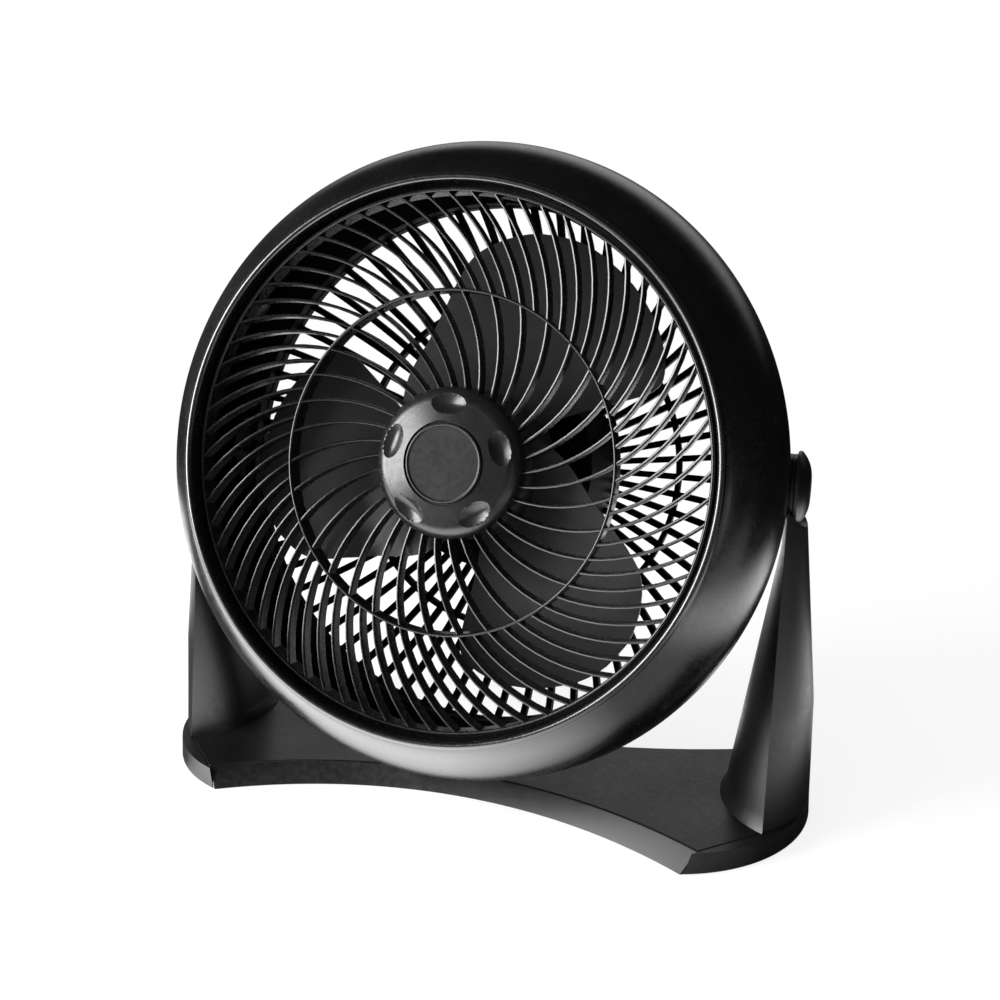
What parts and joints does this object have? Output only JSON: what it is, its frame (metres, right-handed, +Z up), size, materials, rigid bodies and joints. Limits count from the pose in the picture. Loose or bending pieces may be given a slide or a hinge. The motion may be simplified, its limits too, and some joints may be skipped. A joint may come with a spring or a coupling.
{
  "type": "air circulator fan",
  "caption": "Table air circulator: a round fan head with a swirled front grille that tilts between two arms on a low bow-tie base.",
  "frame": {"origin": "on the floor under the middle of the fan's bounding box; the tilt axis lies above it", "axes": "+Z up, -Y the way the fan blows, +X to the right as seen from the front, along the tilt axis"},
  "size_m": [0.422, 0.2469, 0.3944],
  "materials": {
    "black_plastic": "satin, fine moulded grain",
    "grille_plastic": "satin, smooth",
    "blade_plastic": "semi-matt dark grey",
    "cap_plastic": "satin dark grey",
    "rubber": "matt",
    "nylon": "smooth natural nylon",
    "zinc_steel": "zinc-plated",
    "black_steel": "black oxide",
    "shaft_steel": "ground",
    "lamination_steel": "stamped and varnished",
    "cast_alloy": "die-cast",
    "copper_wire": "enamelled copper",
    "bronze": "sintered",
    "capacitor_case": "plain",
    "switch_case": "plain"
  },
  "bodies": {
    "stand": {"base_plate": "black_plastic", "foot_pads": "rubber", "arm_screws": "zinc_steel", "right_arm": "black_plastic", "left_arm": "black_plastic", "right_arm_cover": "black_plastic", "left_arm_cover": "black_plastic", "right_pivot_cap": "black_plastic", "left_pivot_cap": "black_plastic", "right_friction_washer": "nylon", "left_friction_washer": "nylon"},
    "head": {"front_bezel": "black_plastic", "head_shell": "black_plastic", "front_grille": "grille_plastic", "grille_screws": "black_steel", "hub_cap": "cap_plastic", "cap_disc": "cap_plastic", "rear_grille": "black_plastic", "rear_screws": "black_steel", "right_pivot_bolt": "zinc_steel", "left_pivot_bolt": "zinc_steel", "motor_front_bracket": "cast_alloy", "motor_rear_bracket": "cast_alloy", "stator_core": "lamination_steel", "stator_windings": "copper_wire", "motor_bearings": "bronze", "motor_bolts": "zinc_steel", "run_capacitor": "capacitor_case", "motor_pod": "black_plastic", "pod_screws": "black_steel", "cord_bushing": "rubber", "speed_switch": "switch_case"},
    "impeller": {"impeller": "blade_plastic", "impeller_nut": "zinc_steel", "motor_shaft": "shaft_steel", "rotor_core": "lamination_steel"},
    "speed_knob": {"speed_knob": "black_plastic", "switch_shaft": "shaft_steel"}
  },
  "joints": [
    {"name": "head_tilt", "type": "hinge", "parent": "stand", "child": "head", "pos_m": [0, -0.0127, 0.204], "axis": [-1, 0, 0], "range_deg": [-13, 77]},
    {"name": "impeller_spin", "type": "hinge", "parent": "head", "child": "impeller", "pos_m": [0, -0.0127, 0.204], "axis": [0, -0.9744, 0.225], "continuous": true},
    {"name": "speed_knob_turn", "type": "hinge", "parent": "head", "child": "speed_knob", "pos_m": [0, 0.11007, 0.20234], "axis": [0, -0.9744, 0.225], "range_deg": [0, 120]}
  ]
}
